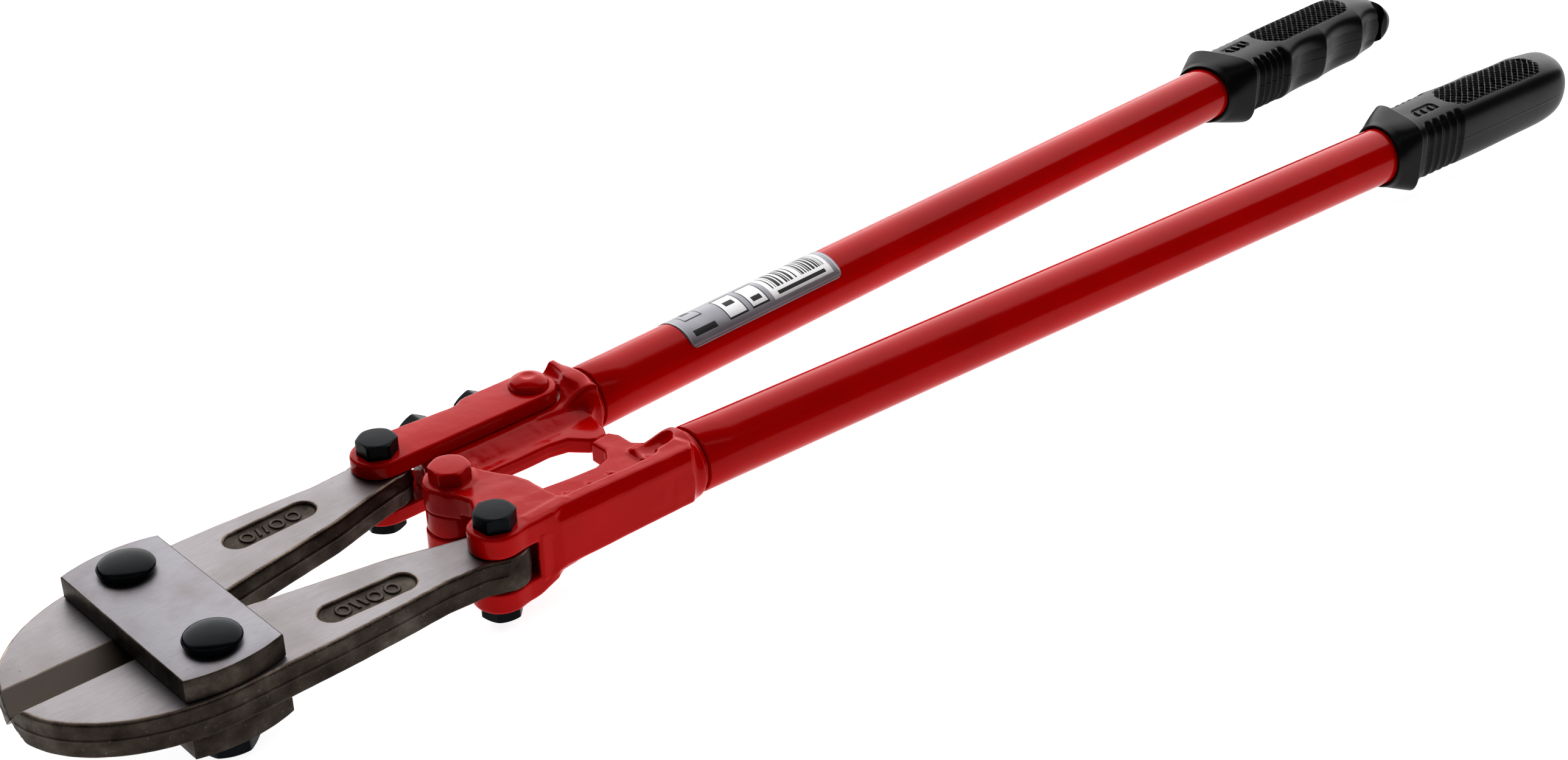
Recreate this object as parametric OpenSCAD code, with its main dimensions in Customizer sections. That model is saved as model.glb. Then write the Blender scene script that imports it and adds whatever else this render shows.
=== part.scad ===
// Compound-action bolt cutters, lying flat and closed.
// Lengths are measured along X from the jaw tips, widths along Y from the middle plane between
// the two handles, and heights along Z from the mid-plane of the jaws. place() then moves the
// whole tool so that its origin is at the bottom centre of its box, with +X towards the grips.

/* [Jaws] */
// Distance from the jaw tips to the jaw bolts
jaw_reach = 55.6; // [45:0.1:70]
// Distance along X from a jaw bolt to its tail bolt
jaw_arm = 99.8; // [80:0.1:125]
// Distance from the middle plane to each jaw bolt
jaw_bolt_y = 26; // [22:0.1:32]
// Distance from the middle plane to each tail bolt
tail_bolt_y = 33.7; // [31:0.1:42]
// How far the side of a jaw stands out beyond its jaw bolt
jaw_side = 16; // [13:0.1:20]
// Thickness of the jaws
jaw_t = 12.8; // [10:0.1:16]
// Width of the ground bevel beside each cutting edge
bevel_w = 6.8; // [4:0.1:9]
// Length of the cutting edge
edge_l = 44; // [30:1:48]
// Gap between one cutting edge and the middle plane
edge_gap = 0.15; // [0.1:0.05:0.5]
// Radius of the rounded jaw tail
jaw_tail_r = 11; // [9:0.1:12]
// Length of the long oval recess in each face of a jaw
recess_l = 34; // [20:1:45]
// Width of the oval recess
recess_w = 10; // [6:0.5:12]
// Depth of the oval recess
recess_d = 1.2; // [0.5:0.1:2]

/* [Jaw plates] */
// Thickness of each jaw plate
plate_t = 8; // [6:0.1:10]
// Distance from the jaw bolts to the front edge of the plates
plate_lead = 17; // [13:0.1:20]
// Distance from the jaw bolts to the rear edge of the plates
plate_trail = 17.4; // [13:0.1:21]
// How far the corners of the plates stand out beyond the jaw bolts
plate_side = 11.4; // [9.5:0.1:14]
// How far the plate's side edges bulge
plate_bulge = 3; // [1:0.1:4]

/* [Bolts] */
// Diameter of the jaw bolts
jaw_bolt_d = 12; // [10:0.1:14]
// Diameter of the jaw bolts' domed heads
dome_d = 18.8; // [16:0.1:22]
// Height of the domed heads above the plate
dome_h = 4.4; // [3:0.1:6]
// Width across the flats of the jaw nuts
jaw_nut_af = 18; // [16:0.1:20]
// Height of the jaw nuts
jaw_nut_h = 8.4; // [5:0.1:11]
// Diameter of the tail bolts, the centre bolt and the rivet
tail_bolt_d = 8; // [6:0.1:9]
// Width across the flats of the tail bolt heads and nuts
hex_af = 13; // [11:0.1:15]
// Height of the hex heads
hex_h = 5.6; // [4:0.1:7]
// Height of all the other nuts
nut_h = 5; // [4:0.1:6]
// Diameter of the domed rivet head
rivet_head_d = 16; // [12:0.1:18]
// Height of the domed rivet head
rivet_head_h = 4.2; // [3:0.1:5]

/* [Handle heads] */
// Distance along X from the tail bolts to the centre bolt
toggle_x = 6.4; // [4:0.1:10]
// Radius of the castings round the centre bolt and the right tail bolt
knuckle_r = 9.6; // [9:0.1:11]
// Half height of the centre knuckle
knuckle_half = 14.2; // [12:0.1:15]
// Thickness of the tongue of the left casting
tongue_t = 8.8; // [6:0.1:11]
// Half height of the right casting
casting_half = 15; // [14:0.1:17]
// How far the outer side of a casting stands out beyond its tail bolt
casting_side = 8.8; // [7.4:0.1:10.6]
// Width of the right casting's tall outer rail
rail_w = 9; // [7:0.1:11]
// Half height of the thin webs beside the middle gap
web_half = 4.2; // [3:0.1:6]
// Distance along X from the tail bolts to the ends of the tubes
casting_l = 86.5; // [86:0.1:107]
// How far the tubes' axes start inside the tail bolts
socket_in = 4.4; // [1:0.1:5]
// Thickness of the casting's collar over the tube's radius
collar_wall = 1; // [0.5:0.1:3]
// Length of the spigot of each casting inside its tube
spigot_l = 40; // [20:1:60]

/* [Straps] */
// Thickness of each strap
strap_t = 6; // [4:0.1:7]
// Radius of the rounded strap ends
strap_r = 9.8; // [8:0.1:11]
// Distance along X from the tail bolt to the rivet
strap_l = 65; // [50:0.1:80]
// Distance along X from the tail bolt to the front adjusting screw
adjuster_front = 27.5; // [24:0.1:30]
// Distance between the two adjusting screws
adjuster_gap = 24.5; // [22:0.1:27]

/* [Handles] */
// Length of each tube from its casting to its grip
tube_l = 385; // [200:1:700]
// Outer diameter of the tubes
tube_d = 24.8; // [20:0.1:30]
// Wall of the tubes
tube_wall = 1.8; // [1.2:0.1:3]
// Angle between one handle and the middle plane
spread = 2.85; // [2:0.1:6]
// Length of the grips
grip_l = 140.3; // [135:0.1:180]
// Radius of the hanging hole near the end of each grip
hang_r = 3.5; // [2:0.1:4]
// Length of the hanging hole between its spot faces
hang_l = 10; // [8:0.5:14]
// Depth of the grip's socket for the tube
grip_socket = 112; // [60:1:130]
// Wall of the grip's collar around the tube
grip_wall = 1.6; // [1.2:0.1:3]
// How far the grip's guard stands out beyond the collar
guard_rise = 2.8; // [1:0.1:6]
// Length of the guard along the grip
guard_l = 14; // [8:0.5:30]

/* [Fits] */
// Radial clearance of bolts that turn in their bores
running_fit = 0.05; // [0.02:0.01:0.1]
// Gap between flat faces that slide on each other
slide_gap = 0.2; // [0.1:0.05:0.4]
// Radial clearance of the left jaw round its jaw bolt, which lets the jaws rock
rocking_fit = 2.8; // [2.6:0.1:3.2]

/* [Hidden] */
$fn = 64;
hull_fn = 32;
tail_x = jaw_reach + jaw_arm;
centre_x = tail_x + toggle_x;
rivet_x = tail_x + strap_l;
jaw_half = jaw_t / 2;
jaw_half_w = jaw_bolt_y + jaw_side;
plate_front = jaw_reach - plate_lead;
plate_rear = jaw_reach + plate_trail;
plate_corner_y = jaw_bolt_y + plate_side;
casting_y = tail_bolt_y + casting_side;
socket_x = tail_x + casting_l;
socket_y = tail_bolt_y - socket_in;
plate_z = jaw_half + slide_gap;
plate_top = plate_z + plate_t;
strap_top = plate_z + strap_t;
tube_r = tube_d / 2;
bore_r = tube_r - tube_wall;
collar_r = tube_r + grip_wall;
guard_half = collar_r + guard_rise;
palm_reach = tube_r + 2.2;
finger_reach = collar_r + 2.5;
grip_half = tube_r + 2.9;
grip_x = socket_x + tube_l * cos(spread);
grip_tip_r = 6;
grip_tip_y = 15;
overall_l = grip_x + (grip_l - grip_tip_r) * cos(spread) + grip_tip_y * sin(spread) + grip_tip_r;
rest_h = max(guard_half, casting_half + nut_h, plate_top + jaw_nut_h);
edge_stop = 0.3;
recess_x = jaw_reach + 0.53 * jaw_arm;
adjuster_x = [tail_x + adjuster_front, tail_x + adjuster_front + adjuster_gap];
block_front = adjuster_x[0] - 9;
block_rear = adjuster_x[1] + 5;
strap_outer = tail_bolt_y + strap_r;
block_in = strap_outer - 9 + slide_gap;
block_out = strap_outer + 2 * slide_gap;

// ---- helpers ----

module place() translate([-overall_l / 2, 0, rest_h]) children();

// Repeats its children as they are for the left side, or mirrored for the right side.
module side(s) mirror([0, s > 0 ? 0 : 1, 0]) children();

// Works in a tube's own frame: its axis along Z, starting at the tube's end.
module along_tube() translate([socket_x, socket_y, 0]) rotate([0, 90, spread]) children();

// Stands a plan outline up between two heights.
module slab(z0, z1) translate([0, 0, z0]) linear_extrude(z1 - z0) children();

module post(x, y, r, z0, z1) translate([x, y, z0]) cylinder(h = z1 - z0, r = r);

module hexagon(af, h) cylinder(h = h, d = af / cos(30), $fn = 6);

// Points on a circular arc, from angle a0 to angle a1.
function arc(x, y, r, a0, a1, n) = [for (i = [0:n]) let (a = a0 + (a1 - a0) * i / n)
    [x + r * cos(a), y + r * sin(a)]];

// A shallow dome over a rim, turned about Z.
module dome(d, h, rim) rotate_extrude() polygon(concat(
    [[0, 0], [d / 2, 0], [d / 2, rim]],
    [for (i = [1:8]) let (a = 90 * i / 8) [d / 2 * cos(a), rim + (h - rim) * sin(a)]]));

// ---- jaws ----

module jaw_outline() polygon(concat(
    // rounded head, a quarter of an ellipse from the tip to the widest point
    [for (i = [0:16]) let (a = 90 * i / 16)
        [jaw_reach * (1 - cos(a)), edge_gap + (jaw_half_w - edge_gap) * sin(a)]],
    // outer side of the arm, to the rounded tail
    [[tail_x - 30, jaw_half_w - 1.8]],
    arc(tail_x, tail_bolt_y, jaw_tail_r, 100, -95, 16),
    // inner side of the arm, back to the heel behind the plates
    [[tail_x - 30, tail_bolt_y - 19.5], [plate_rear + 6, 5], [plate_rear - 1, 3.8],
     [jaw_reach, 1.6], [edge_l, 1.6], [edge_l, edge_gap]]));

// One half of the V groove ground along a cutting edge.
module edge_bevel(s) mirror([0, 0, s > 0 ? 0 : 1])
    translate([-1, 0, 0]) rotate([90, 0, 90]) linear_extrude(edge_l + 1)
        polygon([[-1, edge_stop], [edge_gap, edge_stop], [bevel_w, jaw_half + 0.01],
                 [-1, jaw_half + 0.01]]);

module oval_recess() translate([recess_x, jaw_bolt_y + 2.6, jaw_half - recess_d])
    rotate([0, 0, atan2(tail_bolt_y - jaw_bolt_y, jaw_arm) - 2])
        linear_extrude(recess_d + 1) union() {
            square([recess_l - recess_w, recess_w], center = true);
            for (s = [-1, 1]) translate([s * (recess_l - recess_w) / 2, 0]) circle(d = recess_w);
        }

module jaw(bolt_fit) difference() {
    slab(-jaw_half, jaw_half) jaw_outline();
    for (s = [-1, 1]) {
        edge_bevel(s);
        mirror([0, 0, s > 0 ? 0 : 1]) oval_recess();
    }
    post(jaw_reach, jaw_bolt_y, jaw_bolt_d / 2 + bolt_fit, -jaw_t, jaw_t);
    post(tail_x, tail_bolt_y, tail_bolt_d / 2 + running_fit, -jaw_t, jaw_t);
}

module jaw_left() color("#a59e9e") place() jaw(rocking_fit);
module jaw_right() color("#a59e9e") place() side(-1) jaw(running_fit);

// ---- jaw plates and their bolts ----

module plate_outline() {
    chord = plate_rear - plate_front;
    bulge_r = (chord * chord / 4 + plate_bulge * plate_bulge) / (2 * plate_bulge);
    half_a = asin(chord / 2 / bulge_r);
    mid = (plate_front + plate_rear) / 2;
    top = arc(mid, plate_corner_y + plate_bulge - bulge_r, bulge_r, 90 + half_a, 90 - half_a, 10);
    polygon(concat(top, [for (i = [10:-1:0]) [top[i].x, -top[i].y]]));
}

module jaw_plate() difference() {
    slab(plate_z, plate_top) plate_outline();
    for (s = [-1, 1]) post(jaw_reach, s * jaw_bolt_y, jaw_bolt_d / 2, 0, plate_top + 1);
}

module top_jaw_plate() color("#aaa4a6") place() jaw_plate();
module bottom_jaw_plate() color("#8c8684") place() mirror([0, 0, 1]) jaw_plate();

module jaw_bolt() translate([jaw_reach, jaw_bolt_y, 0]) {
    translate([0, 0, -plate_top - jaw_nut_h])
        cylinder(h = 2 * plate_top + jaw_nut_h, d = jaw_bolt_d);
    translate([0, 0, plate_top]) dome(dome_d, dome_h, 1.6);
}

module hex_nut(x, y, af, d, z, h = nut_h) difference() {
    translate([x, y, z]) hexagon(af, h);
    post(x, y, d / 2, z - 1, z + h + 1);
}

module jaw_nut()
    hex_nut(jaw_reach, jaw_bolt_y, jaw_nut_af, jaw_bolt_d, -plate_top - jaw_nut_h, jaw_nut_h);

module jaw_bolt_left() color("#17181a") place() jaw_bolt();
module jaw_bolt_right() color("#17181a") place() side(-1) jaw_bolt();
module jaw_nut_left() color("#17181a") place() jaw_nut();
module jaw_nut_right() color("#17181a") place() side(-1) jaw_nut();

// ---- hex bolts through the handle heads ----

// A hex bolt clamping everything between -half and +half, with its nut below.
module hex_bolt(x, y, half) translate([x, y, 0]) {
    translate([0, 0, -half - nut_h]) cylinder(h = 2 * half + nut_h, d = tail_bolt_d);
    translate([0, 0, half]) hexagon(hex_af, hex_h);
}

module tail_nut(y, half) hex_nut(tail_x, y, hex_af, tail_bolt_d, -half - nut_h);

module tail_bolt_left() color("#1b1d1f") place() hex_bolt(tail_x, tail_bolt_y, strap_top);
module tail_bolt_right() color("#1b1d1f") place() hex_bolt(tail_x, -tail_bolt_y, casting_half);
module tail_nut_left() color("#1b1d1f") place() tail_nut(tail_bolt_y, strap_top);
module tail_nut_right() color("#1b1d1f") place() tail_nut(-tail_bolt_y, casting_half);
module centre_bolt() color("#c8000a") place() hex_bolt(centre_x, 0, knuckle_half);
module centre_nut() color("#1b1d1f") place()
    hex_nut(centre_x, 0, hex_af, tail_bolt_d, -knuckle_half - nut_h);

// ---- handle castings ----

// The end that meets the tube: a collar against the tube and a spigot inside it.
module socket_end() along_tube() {
    cylinder(h = spigot_l, r = bore_r);
    translate([0, 0, -7]) cylinder(h = 7, r = tube_r + collar_wall);
}

// Swells from a rail's end at x0, of the given half height and width, into a bead by the collar.
module socket_swell(half, x0, y0, y1) hull() {
    along_tube() translate([0, 0, -9]) cylinder(h = 4, r = tube_r + collar_wall + 0.6, $fn = hull_fn);
    slab(-half + 0.5, half - 0.5) translate([x0, y0]) square([1, y1 - y0 - 0.5]);
}

// The left casting: a tongue on the centre bolt, and a body between the straps.
module left_body_outline() difference() {
    polygon([[tail_x + 10, 13], [tail_x + 24, 8.7], [socket_x - 21, 8.7], [socket_x - 18, 2],
             [socket_x - 14, edge_stop], [socket_x - 10, 9], [socket_x - 8, casting_y + 1],
             [block_rear + slide_gap, casting_y + 1], [block_rear + slide_gap, strap_outer - 9],
             [tail_x + 14, strap_outer - 9]]);
    translate([tail_x, tail_bolt_y]) circle(r = jaw_tail_r + 1);
}

module handle_casting_left() color("#c8000a") place() difference() {
    union() {
        post(centre_x, 0, knuckle_r - 0.4, -tongue_t / 2, tongue_t / 2);
        slab(-tongue_t / 2, tongue_t / 2) difference() {
            polygon([[centre_x - 4, 8.2], [centre_x + 9, 2], [tail_x + 26, 9], [tail_x + 26, 20],
                     [tail_x + 11, 20]]);
            translate([tail_x, tail_bolt_y]) circle(r = jaw_tail_r + 1);
        }
        slab(-web_half, web_half) left_body_outline();
        slab(-plate_z, plate_z) intersection() {
            left_body_outline();
            translate([0, tail_bolt_y - 15.7]) square([socket_x, 60]);
        }
        socket_swell(casting_half - 2, adjuster_x[1] + hex_af / 2 + 1, casting_y - 18.5, casting_y);
        socket_end();
    }
    // seats of the two straps
    for (s = [-1, 1]) mirror([0, 0, s > 0 ? 0 : 1]) slab(plate_z, casting_half + 5) union() {
        translate([rivet_x, tail_bolt_y]) circle(r = strap_r + 1.4);
        translate([tail_x, 0]) square([strap_l, 60]);
    }
    post(centre_x, 0, tail_bolt_d / 2 + running_fit, -20, 20);
    post(rivet_x, tail_bolt_y, tail_bolt_d / 2, -20, 20);
}

// The right casting: two cheeks on the centre bolt and a clevis round the right jaw's tail.
module right_ear_outline() union() {
    translate([centre_x, 0]) circle(r = knuckle_r);
    translate([tail_x, tail_bolt_y]) circle(r = knuckle_r);
    polygon([[centre_x - 5, 8], [centre_x - 3, 16], [tail_x, tail_bolt_y - knuckle_r + 2],
             [tail_x, tail_bolt_y + knuckle_r - 1], [tail_x + 24, casting_y],
             [tail_x + 27, casting_y - 6], [tail_x + 24, 16], [centre_x + 12, 5],
             [centre_x + 8, -5]]);
}

module right_web_outline() polygon([
    [tail_x + 18, 20], [tail_x + 31, 12], [tail_x + 45, 14.5], [tail_x + 58, 15.4],
    [tail_x + 64, 12], [tail_x + 66, 5], [socket_x - 21, 2], [socket_x - 18, edge_stop],
    [socket_x - 12, edge_stop], [socket_x - 8, 8], [socket_x - 4, casting_y], [tail_x + 20, casting_y]]);

module right_rail() slab(-casting_half, casting_half)
    polygon([[tail_x + 16, casting_y - 6.5], [tail_x + 28, casting_y - rail_w],
             [socket_x - 24, casting_y - rail_w], [socket_x - 14, casting_y - rail_w - 3.5],
             [socket_x - 12, casting_y], [tail_x + 16, casting_y]]);

module handle_casting_right() color("#c8000a") place() side(-1) difference() {
    union() {
        for (s = [-1, 1]) mirror([0, 0, s > 0 ? 0 : 1]) {
            slab(plate_z, casting_half) difference() {
                right_ear_outline();
                translate([centre_x, 0]) circle(r = knuckle_r + 4);
            }
            slab(plate_z, knuckle_half) right_ear_outline();
            slab(tongue_t / 2 + slide_gap, plate_z) intersection() {
                right_ear_outline();
                translate([centre_x, 0]) circle(r = knuckle_r + 1);
            }
        }
        right_rail();
        slab(-web_half, web_half) right_web_outline();
        slab(-plate_z, plate_z) polygon([[tail_x + 15, casting_y - 6.5],
            [tail_x + 20, casting_y - 18.5], [tail_x + 30, casting_y - 20.5],
            [tail_x + 30, casting_y], [tail_x + 14, casting_y]]);
        socket_swell(casting_half, socket_x - 34, casting_y - 14.5, casting_y);
        socket_end();
    }
    post(centre_x, 0, tail_bolt_d / 2, -20, 20);
    post(tail_x, tail_bolt_y, tail_bolt_d / 2, -20, 20);
}

// ---- straps, rivet and adjusting screws ----

module strap_outline() union() {
    translate([tail_x, tail_bolt_y]) circle(r = strap_r);
    translate([rivet_x, tail_bolt_y]) circle(r = strap_r);
    polygon([[tail_x, tail_bolt_y - strap_r], [rivet_x, tail_bolt_y - strap_r],
             [rivet_x, strap_outer], [adjuster_x[0] + 14, strap_outer],
             [adjuster_x[0] + 11, strap_outer - 2.4], [tail_x, strap_outer]]);
}

module strap() difference() {
    slab(plate_z, strap_top) strap_outline();
    for (x = [tail_x, rivet_x]) post(x, tail_bolt_y, tail_bolt_d / 2, 0, strap_top + 1);
}

module top_strap() color("#c8000a") place() strap();
module bottom_strap() color("#c8000a") place() mirror([0, 0, 1]) strap();

module strap_rivet() color("#c8000a") place() translate([rivet_x, tail_bolt_y, 0]) {
    cylinder(h = 2 * strap_top, d = tail_bolt_d, center = true);
    for (s = [-1, 1]) mirror([0, 0, s > 0 ? 0 : 1])
        translate([0, 0, strap_top]) dome(rivet_head_d, rivet_head_h, 0.8);
}

// Screws lie along Y, starting at y and pointing inwards.
module across(x, y) translate([x, y, 0]) rotate([90, 0, 0]) rotate([0, 0, 30]) children();

module adjuster_block() color("#a80008") place() difference() {
    slab(-plate_z, plate_z) translate([block_front, block_in])
        square([block_rear - block_front, block_out - block_in]);
    for (x = adjuster_x) across(x, block_out + 1) cylinder(h = 20, d = tail_bolt_d);
}

module lock_nut(x) difference() {
    across(x, block_out + nut_h) hexagon(hex_af, nut_h);
    across(x, block_out + nut_h + 1) cylinder(h = nut_h + 2, d = tail_bolt_d);
}

module adjusting_screw(x) {
    across(x, block_out + nut_h + hex_h) hexagon(hex_af, hex_h);
    across(x, block_out + nut_h) cylinder(h = block_out - block_in + nut_h, d = tail_bolt_d);
}

module adjusting_screw_front() color("#1b1d1f") place() adjusting_screw(adjuster_x[0]);
module adjusting_screw_rear() color("#1b1d1f") place() adjusting_screw(adjuster_x[1]);
module lock_nut_front() color("#1b1d1f") place() lock_nut(adjuster_x[0]);
module lock_nut_rear() color("#1b1d1f") place() lock_nut(adjuster_x[1]);

// ---- tubes, grips and label ----

module tube() along_tube() difference() {
    cylinder(h = tube_l + grip_socket, r = tube_r);
    translate([0, 0, -1]) cylinder(h = tube_l + grip_socket + 2, r = bore_r);
}

module tube_left() color("#cc0008") place() tube();
module tube_right() color("#cc0008") place() side(-1) tube();

// Works in a grip's own frame: X along the tube, +Y towards the palm, from the collar's front.
module along_grip() translate([grip_x, socket_y + tube_l * sin(spread), 0])
    rotate([0, 0, spread]) children();

// A thin oval disc across the grip, at distance u, reaching y0 inwards, y1 outwards and z high.
module grip_ring(u, y0, y1, z) translate([u, (y1 - y0) / 2, 0]) rotate([0, 90, 0])
    scale([z, (y0 + y1) / 2, 1]) cylinder(h = 1, r = 1, $fn = hull_fn);

module grip() along_grip() difference() {
    union() {
        // guard, flaring back from the collar and falling to the body
        hull() {
            grip_ring(0, collar_r, collar_r, collar_r);
            grip_ring(guard_l - 1, guard_half + 1, guard_half - 0.5, guard_half);
        }
        hull() {
            grip_ring(guard_l, finger_reach, palm_reach, grip_half);
            grip_ring(grip_l - 40, finger_reach, palm_reach - 0.6, grip_half);
            grip_ring(grip_l - 16, finger_reach, palm_reach - 1.6, grip_half - 1.6);
        }
        // slanted end, longer on the finger side
        hull() {
            grip_ring(grip_l - 17, finger_reach, palm_reach - 1.6, grip_half - 1.6);
            grip_ring(grip_l - 8, finger_reach + 0.5, palm_reach - 9.6, grip_half - 6.6);
            translate([grip_l - grip_tip_r, -grip_tip_y, 0]) sphere(r = grip_tip_r, $fn = hull_fn);
        }
    }
    // finger grooves between the ridges
    for (u = [62, 94]) post(u, -finger_reach - 27.5, 30.5, -30, 30);
    translate([-1, 0, 0]) rotate([0, 90, 0]) cylinder(h = grip_socket + 1, r = tube_r);
    // hanging hole through the slanted end, between two flat spot faces
    post(grip_l - 10, -12, hang_r, -30, 30);
    for (s = [-1, 1]) mirror([0, 0, s > 0 ? 0 : 1])
        post(grip_l - 10, -12, hang_r + 1.5, hang_l / 2, 30);
}

module grip_left() color("#2a2b2d") place() grip();
module grip_right() color("#2a2b2d") place() side(-1) grip();

// A printed foil wrapped round the upper side of the left tube.
module tube_label() color("#c9c9cd") place() along_tube() translate([0, 0, 45])
    rotate([0, 0, 100]) rotate_extrude(angle = 150)
        translate([tube_r, 0]) square([0.15, 82]);

jaw_left();
jaw_right();
top_jaw_plate();
bottom_jaw_plate();
jaw_bolt_left();
jaw_bolt_right();
jaw_nut_left();
jaw_nut_right();
tail_bolt_left();
tail_bolt_right();
tail_nut_left();
tail_nut_right();
centre_bolt();
centre_nut();
handle_casting_left();
handle_casting_right();
top_strap();
bottom_strap();
adjuster_block();
strap_rivet();
adjusting_screw_front();
adjusting_screw_rear();
lock_nut_front();
lock_nut_rear();
tube_left();
tube_right();
grip_left();
grip_right();
tube_label();
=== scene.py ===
"""Bolt cutters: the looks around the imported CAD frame.

Shapes are worked out in the tool's own millimetres: x from the jaw tips towards the grips, y from
the middle plane (positive to the left handle) and z from the mid-plane of the jaws.
"""

import functools
import math

import bmesh
import bpy
import numpy as np
import openvdb
from mathutils import Matrix, Vector


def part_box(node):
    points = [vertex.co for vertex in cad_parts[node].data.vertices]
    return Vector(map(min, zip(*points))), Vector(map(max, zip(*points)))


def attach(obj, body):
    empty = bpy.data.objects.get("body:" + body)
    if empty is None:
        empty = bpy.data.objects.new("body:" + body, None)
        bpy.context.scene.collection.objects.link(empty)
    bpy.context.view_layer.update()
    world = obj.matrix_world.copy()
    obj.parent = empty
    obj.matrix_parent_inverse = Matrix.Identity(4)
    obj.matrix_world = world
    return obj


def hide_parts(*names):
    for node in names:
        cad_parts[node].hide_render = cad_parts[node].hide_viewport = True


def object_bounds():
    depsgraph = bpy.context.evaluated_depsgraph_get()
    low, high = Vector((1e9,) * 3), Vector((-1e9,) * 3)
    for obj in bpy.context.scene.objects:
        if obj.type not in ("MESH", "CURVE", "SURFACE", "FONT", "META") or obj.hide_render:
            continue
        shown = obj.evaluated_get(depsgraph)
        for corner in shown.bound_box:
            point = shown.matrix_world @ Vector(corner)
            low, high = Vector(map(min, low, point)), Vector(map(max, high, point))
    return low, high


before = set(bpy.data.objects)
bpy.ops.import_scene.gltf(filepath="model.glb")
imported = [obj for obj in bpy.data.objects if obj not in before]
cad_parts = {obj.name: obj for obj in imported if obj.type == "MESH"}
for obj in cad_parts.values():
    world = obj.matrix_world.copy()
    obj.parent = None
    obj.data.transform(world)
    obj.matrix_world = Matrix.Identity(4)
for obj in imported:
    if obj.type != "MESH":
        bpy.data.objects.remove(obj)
CAD_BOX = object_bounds()
MM = 0.001


def centre(node):
    """Middle of a CAD node's box, in metres."""
    low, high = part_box(node)
    return [(a + b) / 2 for a, b in zip(low, high)]


TIP_X = CAD_BOX[0][0]
MID_Z = centre("jaw_left")[2]


def tool_xy(node):
    """Where an upright bolt stands, in tool millimetres."""
    x, y, _ = centre(node)
    return (x - TIP_X) / MM, y / MM


def half_height(node):
    low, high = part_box(node)
    return (high[2] - low[2]) / 2 / MM


JAW_BOLT = tool_xy("jaw_bolt_left")
TAIL = tool_xy("tail_bolt_left")
CENTRE = tool_xy("centre_bolt")
RIVET = tool_xy("strap_rivet")
JAW_HALF = half_height("jaw_left")
CAST_HALF = 15.0
KNUCKLE_HALF = 14.2
PLATE_Z = JAW_HALF + 0.2
PLATE_T = half_height("top_jaw_plate") * 2
STRAP_T = half_height("top_strap") * 2
PLATE_TOP = PLATE_Z + PLATE_T
STRAP_TOP = PLATE_Z + STRAP_T
TUBE_R = half_height("tube_left")
SPREAD = math.radians(2.85)
SPREAD_COS, SPREAD_SIN = math.cos(SPREAD), math.sin(SPREAD)
SOCKET = (TAIL[0] + 86.5, TAIL[1] - 4.4)
TUBE_L = 385.0
GRIP_L = 140.3
HEX_AF = 13.0
HEX_H = 5.6
NUT_H = 5.0
JAW_NUT_H = 8.4
CAST_Y = TAIL[1] + 8.8
FRONT_SCREW, SCREW_PITCH = 27.5, 24.5
BLACK, WHITE = (0, 0, 0), (1, 1, 1)
SIDES = ((1, "left"), (-1, "right"))
rng = np.random.default_rng(30)


# ------------ mesh helpers

def to_frame(points, side=1):
    """Tool millimetres to metres in the frame; side -1 mirrors to the right half of the tool."""
    p = np.asarray(points, float)
    return np.column_stack([p[:, 0] * MM + TIP_X, p[:, 1] * MM * side, p[:, 2] * MM + MID_Z])


def shade_smooth(mesh, sharp_degrees):
    """Smooth shading, with the edges sharper than the angle kept hard."""
    mesh.polygons.foreach_set("use_smooth", [True] * len(mesh.polygons))
    mesh.set_sharp_from_angle(angle=math.radians(sharp_degrees))


def add_mesh(name, points, faces, side=1, smooth=True):
    mesh = bpy.data.meshes.new(name)
    mesh.from_pydata(to_frame(points, side).tolist(), [], [tuple(map(int, f)) for f in faces])
    mesh.validate()
    skin = bmesh.new()
    skin.from_mesh(mesh)
    bmesh.ops.recalc_face_normals(skin, faces=skin.faces)
    skin.to_mesh(mesh)
    skin.free()
    obj = bpy.data.objects.new(name, mesh)
    bpy.context.scene.collection.objects.link(obj)
    if smooth:
        shade_smooth(mesh, 38)
    return obj


def finish_piece(obj, body, node, slot, *materials):
    """Puts the piece on its body in place of its CAD node."""
    for material in materials:
        obj.data.materials.append(material)
    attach(obj, body)
    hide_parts(*([node] if isinstance(node, str) else node))
    return obj


def loft(rings, cap_start=True, cap_end=True):
    """Points and faces of a skin over closed rings that have the same number of points."""
    count = len(rings[0])
    points = np.concatenate(rings)
    faces = []
    for i in range(len(rings) - 1):
        for j in range(count):
            k = (j + 1) % count
            faces.append((i * count + j, i * count + k, (i + 1) * count + k, (i + 1) * count + j))
    if cap_start:
        faces.append(tuple(range(count - 1, -1, -1)))
    if cap_end:
        faces.append(tuple(range((len(rings) - 1) * count, len(rings) * count)))
    return points, faces


def circle(r, z, n):
    """A ring of n points about Z; r and z are one number each, or one for each point."""
    a = np.linspace(0, 2 * math.pi, n, endpoint=False)
    return np.column_stack([r * np.cos(a), r * np.sin(a), np.full(n, z)])


def revolve(profile, segments=64):
    """Skin of a (radius, height) profile turned about Z, with flat ends."""
    return loft([circle(r, z, segments) for r, z in profile])


def arc(cx, cy, r, a0, a1, n):
    a = np.radians(np.linspace(a0, a1, n + 1))
    return [(cx + r * c, cy + r * s) for c, s in zip(np.cos(a), np.sin(a))]


def resample(outline, step):
    """The closed outline with points no further than step apart, corners kept."""
    out = []
    for (x0, y0), (x1, y1) in zip(outline, outline[1:] + outline[:1]):
        n = max(1, int(math.hypot(x1 - x0, y1 - y0) / step))
        out += [(x0 + (x1 - x0) * i / n, y0 + (y1 - y0) * i / n) for i in range(n)]
    return np.array(out)


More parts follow.
